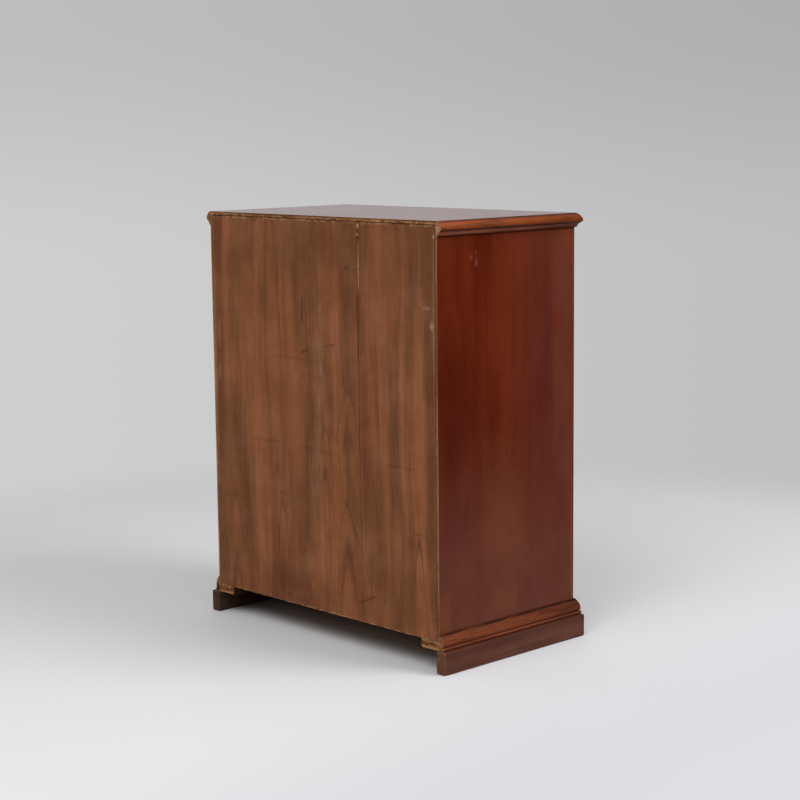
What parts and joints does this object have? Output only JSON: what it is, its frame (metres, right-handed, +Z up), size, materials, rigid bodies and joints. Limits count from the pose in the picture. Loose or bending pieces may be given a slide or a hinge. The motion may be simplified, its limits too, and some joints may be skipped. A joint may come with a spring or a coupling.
{
  "type": "chiffonier",
  "caption": "Low mahogany cupboard on a plinth: a long drawer over a pair of panelled doors that lock with a key, moulded top and base, boarded back.",
  "frame": {"origin": "on the floor, under the middle of the object's box", "axes": "+Z up; -Y is the front with the drawer and doors, +Y the boarded back; +X is the right-hand side as seen from the front"},
  "size_m": [0.868, 0.513, 1.05],
  "materials": {
    "mahogany_polished": "polished",
    "mahogany_moulding": "polished",
    "plinth_wood": "worn satin",
    "back_wood": "raw, aged",
    "inner_wood": "raw",
    "brass": "aged",
    "steel": "dull"
  },
  "bodies": {
    "carcase": {"side_left": "mahogany_polished", "side_right": "mahogany_polished", "front_lippings": "mahogany_polished", "top_board": "mahogany_polished", "bottom_board": "inner_wood", "top_moulding_left": "mahogany_moulding", "top_moulding_right": "mahogany_moulding", "top_moulding_front": "mahogany_moulding", "base_rail_left": "inner_wood", "base_rail_right": "inner_wood", "base_rail_front": "inner_wood", "base_moulding_left": "mahogany_moulding", "base_moulding_right": "mahogany_moulding", "base_moulding_front": "mahogany_moulding", "plinth_left": "plinth_wood", "plinth_right": "plinth_wood", "plinth_front": "plinth_wood", "plinth_glue_blocks": "inner_wood", "back_board_wide": "back_wood", "back_board_narrow": "back_wood", "back_nails": "steel", "top_rail": "mahogany_polished", "drawer_rail": "mahogany_polished", "drawer_runners": "inner_wood", "drawer_kickers": "inner_wood", "drawer_stops": "inner_wood", "dust_board": "inner_wood", "shelf_lower": "inner_wood", "shelf_upper": "inner_wood", "shelf_bearers": "inner_wood", "door_stops": "inner_wood", "hinge_jamb_leaves": "brass", "hinge_pins": "brass"},
    "drawer": {"drawer_front": "mahogany_polished", "drawer_side_left": "inner_wood", "drawer_side_right": "inner_wood", "drawer_back": "inner_wood", "drawer_bottom": "inner_wood", "drawer_knobs": "mahogany_polished"},
    "door_left": {"door_left_hinge_stile": "mahogany_polished", "door_left_meeting_stile": "mahogany_polished", "door_left_top_rail": "mahogany_polished", "door_left_bottom_rail": "mahogany_polished", "door_left_panel": "mahogany_polished", "door_left_hinge_leaves": "brass", "door_left_knob": "mahogany_polished", "door_left_bolt_plate": "brass", "lock_keeper": "brass"},
    "door_right": {"door_right_hinge_stile": "mahogany_polished", "door_right_meeting_stile": "mahogany_polished", "door_right_top_rail": "mahogany_polished", "door_right_bottom_rail": "mahogany_polished", "door_right_panel": "mahogany_polished", "door_right_hinge_leaves": "brass", "door_right_knob": "mahogany_polished", "lock_case": "steel", "escutcheon": "brass"},
    "door_left_bolt": {"door_left_bolt": "brass"},
    "key": {"key": "steel"},
    "lock_bolt": {"lock_bolt": "steel"}
  },
  "joints": [
    {"name": "drawer_slide", "type": "slide", "parent": "carcase", "child": "drawer", "axis": [0, -1, 0], "range_m": [0, 0.3]},
    {"name": "door_left_hinge", "type": "hinge", "parent": "carcase", "child": "door_left", "pos_m": [-0.38925, -0.2247, 0.465], "axis": [0, 0, -1], "range_deg": [0, 170]},
    {"name": "door_right_hinge", "type": "hinge", "parent": "carcase", "child": "door_right", "pos_m": [0.38925, -0.2247, 0.465], "axis": [0, 0, 1], "range_deg": [0, 170]},
    {"name": "door_left_bolt_slide", "type": "slide", "parent": "door_left", "child": "door_left_bolt", "axis": [0, 0, 1], "range_m": [0, 0.014]},
    {"name": "key_turn", "type": "hinge", "parent": "door_right", "child": "key", "pos_m": [0.03075, -0.2205, 0.465], "axis": [0, -1, 0], "range_deg": [0, 180]},
    {"name": "lock_bolt_slide", "type": "slide", "parent": "door_right", "child": "lock_bolt", "axis": [-1, 0, 0], "range_m": [0, 0.012]}
  ],
  "couplings": [
    {"joint": "lock_bolt_slide", "follows": "key_turn", "m_per_rad": 0.003819}
  ]
}
